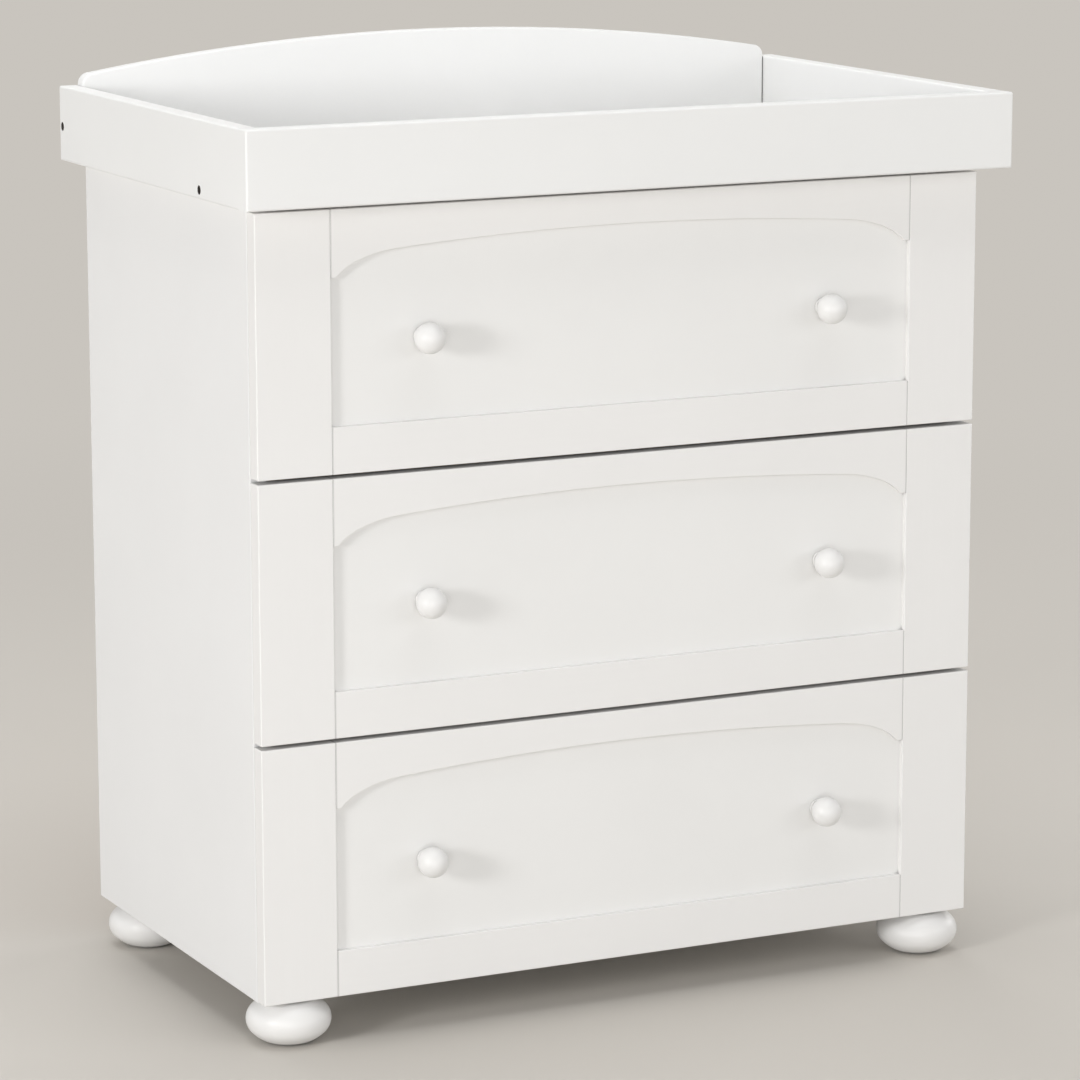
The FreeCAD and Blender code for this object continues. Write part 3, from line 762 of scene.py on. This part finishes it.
for number, row in enumerate(rows):
    for sign, inward, outward in ((1, "left", "right"), (-1, "right", "left")):
        seats.append(((sign * sideInner, row, sideHeight), inward, camLook["spins"]["side"][sign][number]))
        boltSeats.append(((sign * (sideInner + middle), row, sideHeight + camBoltLook["grip"]), "up", 0))
        baseX = sideInner - camBoltLook["inset"]
        seats.append(((sign * baseX, row, low.z), "down", camLook["spins"]["base"][sign][number]))
        boltSeats.append(((sign * (baseX + camBoltLook["grip"]), row, low.z + middle), outward, 0))
turnedPiece("cam_discs", "carcass", ["cam_fittings"], camLook, seats, "castZinc")
turnedPiece("cam_bolts", "carcass", ["cam_fittings"], camBoltLook, boltSeats, "zinc")

pinLook = {
    "segments": 16,
    "profile": [(0, -12), (0.8, -10.6), (0.8, 0), (2.0, 0)] + arc((0, -3.6), 4.2, 60, 90, 4)[1:],
    "backPins": 8,
    "bottomPins": 6,
    "fromEnd": 0.045,
}
baseLow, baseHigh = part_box("base_panel")
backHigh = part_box("back_panel")[1]
pinHeight = middleOf(baseLow.z, baseHigh.z)
columns = spread(baseLow.x, baseHigh.x, pinLook, pinLook["backPins"])
seats = [((x, backHigh.y, pinHeight), "rear", 0) for x in columns]
turnedPiece("back_pins", "carcass", [], pinLook, seats, "zinc")
for drawer in drawers:
    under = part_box(f"{drawer}_bottom")[0].z
    low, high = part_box(f"{drawer}_back")
    columns = spread(low.x, high.x, pinLook, pinLook["bottomPins"])
    seats = [((x, middleOf(low.y, high.y), under), "down", 0) for x in columns]
    turnedPiece(f"{drawer}_bottom_pins", drawer, [], pinLook, seats, "zinc")

bufferLook = {
    "segments": 24,
    "profile": [(0, 0), (4, 0), (4, 0.5)] + arc((0, -4.0), 5.9, 48, 90, 6)[1:],
    "fromSide": 0.009,
    "fromEdge": 0.016,
}
for drawer in drawers:
    low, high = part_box(f"{drawer}_stile_right")
    x = high.x - bufferLook["fromSide"]
    levels = (low.z + bufferLook["fromEdge"], high.z - bufferLook["fromEdge"])
    seats = [((sign * x, high.y, z), "rear", 0) for sign in (1, -1) for z in levels]
    turnedPiece(f"{drawer}_buffers", drawer, [], bufferLook, seats, "buffer")
print("turned parts and fasteners set")


# stage, light and camera

stageLook = {
    "background": (0.584, 0.556, 0.515),
    "floorColour": (0.600, 0.570, 0.525),
    "floorDeeper": 0.985,
    "floorPatchesPerMetre": 0.8,
    "floorRoughness": 0.85,
    "floorSize": 30.0,
    "blendFrom": 0.7,  # metres from the middle, where the floor begins to turn into the background
    "blendTo": 3.6,
}


def cameraRayFactor(tree):
    # 1 for what the camera, gloss or clear things see, 0 for what lights the object
    path = addNode(tree, "ShaderNodeLightPath")
    total = path.outputs["Is Camera Ray"]
    for name in ("Is Glossy Ray", "Is Transmission Ray"):
        total = calculate(tree, "ADD", total, path.outputs[name], clamp=True)
    return total


def makeFloor():
    look = stageLook
    reach = look["floorSize"] / 2
    mesh = bpy.data.meshes.new("floor")
    corners = [(-reach, -reach, 0), (reach, -reach, 0), (reach, reach, 0), (-reach, reach, 0)]
    mesh.from_pydata(corners, [], [(0, 1, 2, 3)])
    floor = makeObject("floor", mesh)
    material, tree, shader = newMaterial("floorFinish")
    patches = objectNoise(tree, look["floorPatchesPerMetre"], detail=3.0)
    deeper = tuple(look["floorDeeper"] * value for value in look["floorColour"])
    colour = mixColours(tree, rangeOf(tree, patches, 0, 1), look["floorColour"], deeper)
    chain(tree, colour, shader.inputs["Base Color"])
    shader.inputs["Roughness"].default_value = look["floorRoughness"]
    place = addNode(tree, "ShaderNodeTexCoord")
    length = addNode(tree, "ShaderNodeVectorMath", operation="LENGTH")
    chain(tree, place.outputs["Object"], length.inputs[0])
    far = addNode(tree, "ShaderNodeMapRange", interpolation_type="SMOOTHSTEP")
    far.inputs["From Min"].default_value = look["blendFrom"]
    far.inputs["From Max"].default_value = look["blendTo"]
    chain(tree, length.outputs["Value"], far.inputs["Value"])
    seen = calculate(tree, "MULTIPLY", far.outputs["Result"], cameraRayFactor(tree))
    glow = addNode(tree, "ShaderNodeEmission")
    glow.inputs["Color"].default_value = (*look["background"], 1)
    blend = addNode(tree, "ShaderNodeMixShader")
    chain(tree, seen, blend.inputs["Fac"])
    chain(tree, shader.outputs["BSDF"], blend.inputs[1])
    chain(tree, glow.outputs["Emission"], blend.inputs[2])
    chain(tree, blend.outputs["Shader"], tree.nodes["Material Output"].inputs["Surface"])
    floor.data.materials.append(material)


lightLook = {
    "worldStrength": 0.32,
    "worldColour": (1.0, 1.0, 1.0),
    "target": (0.0, 0.0, 0.5),
    "lamps": {
        # name: (degrees left of straight ahead, degrees up, metres away, width and height in metres, watts)
        "keyLamp": (66, 10, 4.4, 0.8, 0.8, 74),
        "frontLamp": (22, 5, 9.0, 5.5, 2.6, 238),
        "fillLamp": (-38, 14, 5.6, 4.4, 1.8, 48),
        "sideLamp": (112, 12, 4.2, 2.6, 1.6, 9),
        "topLamp": (0, 84, 3.2, 2.6, 2.6, 49),
        "rightLamp": (-100, 14, 4.5, 2.6, 1.6, 42),
        "rearLamp": (180, 48, 4.2, 3.2, 1.8, 48),
    },
}


def makeLights():
    world = bpy.data.worlds.new("studio")
    bpy.context.scene.world = world
    world.use_nodes = True
    tree = world.node_tree
    light = tree.nodes["Background"]
    light.inputs["Color"].default_value = (*lightLook["worldColour"], 1)
    light.inputs["Strength"].default_value = lightLook["worldStrength"]
    seen = addNode(tree, "ShaderNodeBackground")
    seen.inputs["Color"].default_value = (*stageLook["background"], 1)
    blend = addNode(tree, "ShaderNodeMixShader")
    chain(tree, cameraRayFactor(tree), blend.inputs["Fac"])
    chain(tree, light.outputs["Background"], blend.inputs[1])
    chain(tree, seen.outputs["Background"], blend.inputs[2])
    chain(tree, blend.outputs["Shader"], tree.nodes["World Output"].inputs["Surface"])
    target = Vector(lightLook["target"])
    for name, (left, up, away, width, height, watts) in lightLook["lamps"].items():
        left, up = math.radians(left), math.radians(up)
        flat = away * math.cos(up)
        place = target + Vector((-flat * math.sin(left), -flat * math.cos(left), away * math.sin(up)))
        data = bpy.data.lights.new(name, "AREA")
        data.shape = "RECTANGLE"
        data.size = width
        data.size_y = height
        data.energy = watts
        lamp = makeObject(name, data)
        lamp.location = place
        lamp.rotation_euler = (target - place).to_track_quat("-Z", "Y").to_euler()
        lamp.visible_camera = False


cameraLook = {
    "place": (-2.0231, -4.1567, 1.3524),
    "sensor": 36.0,
    "lens": 148.798,
    "turnedRight": 26.048,  # degrees, as the next two
    "down": 11.104,
    "roll": -0.082,
    "clipEnd": 100,
}


def makeCamera():
    look = cameraLook
    data = bpy.data.cameras.new("camera")
    data.sensor_width = look["sensor"]
    data.lens = look["lens"]
    data.clip_end = look["clipEnd"]
    camera = makeObject("camera", data)
    turned = (Matrix.Rotation(-math.radians(look["turnedRight"]), 4, "Z")
              @ Matrix.Rotation(math.radians(90 - look["down"]), 4, "X")
              @ Matrix.Rotation(math.radians(look["roll"]), 4, "Z"))
    camera.matrix_world = Matrix.Translation(look["place"]) @ turned
    bpy.context.scene.camera = camera


makeFloor()
makeLights()
makeCamera()
bpy.context.scene.view_settings.view_transform = "Standard"
print("stage, lights and camera ready")
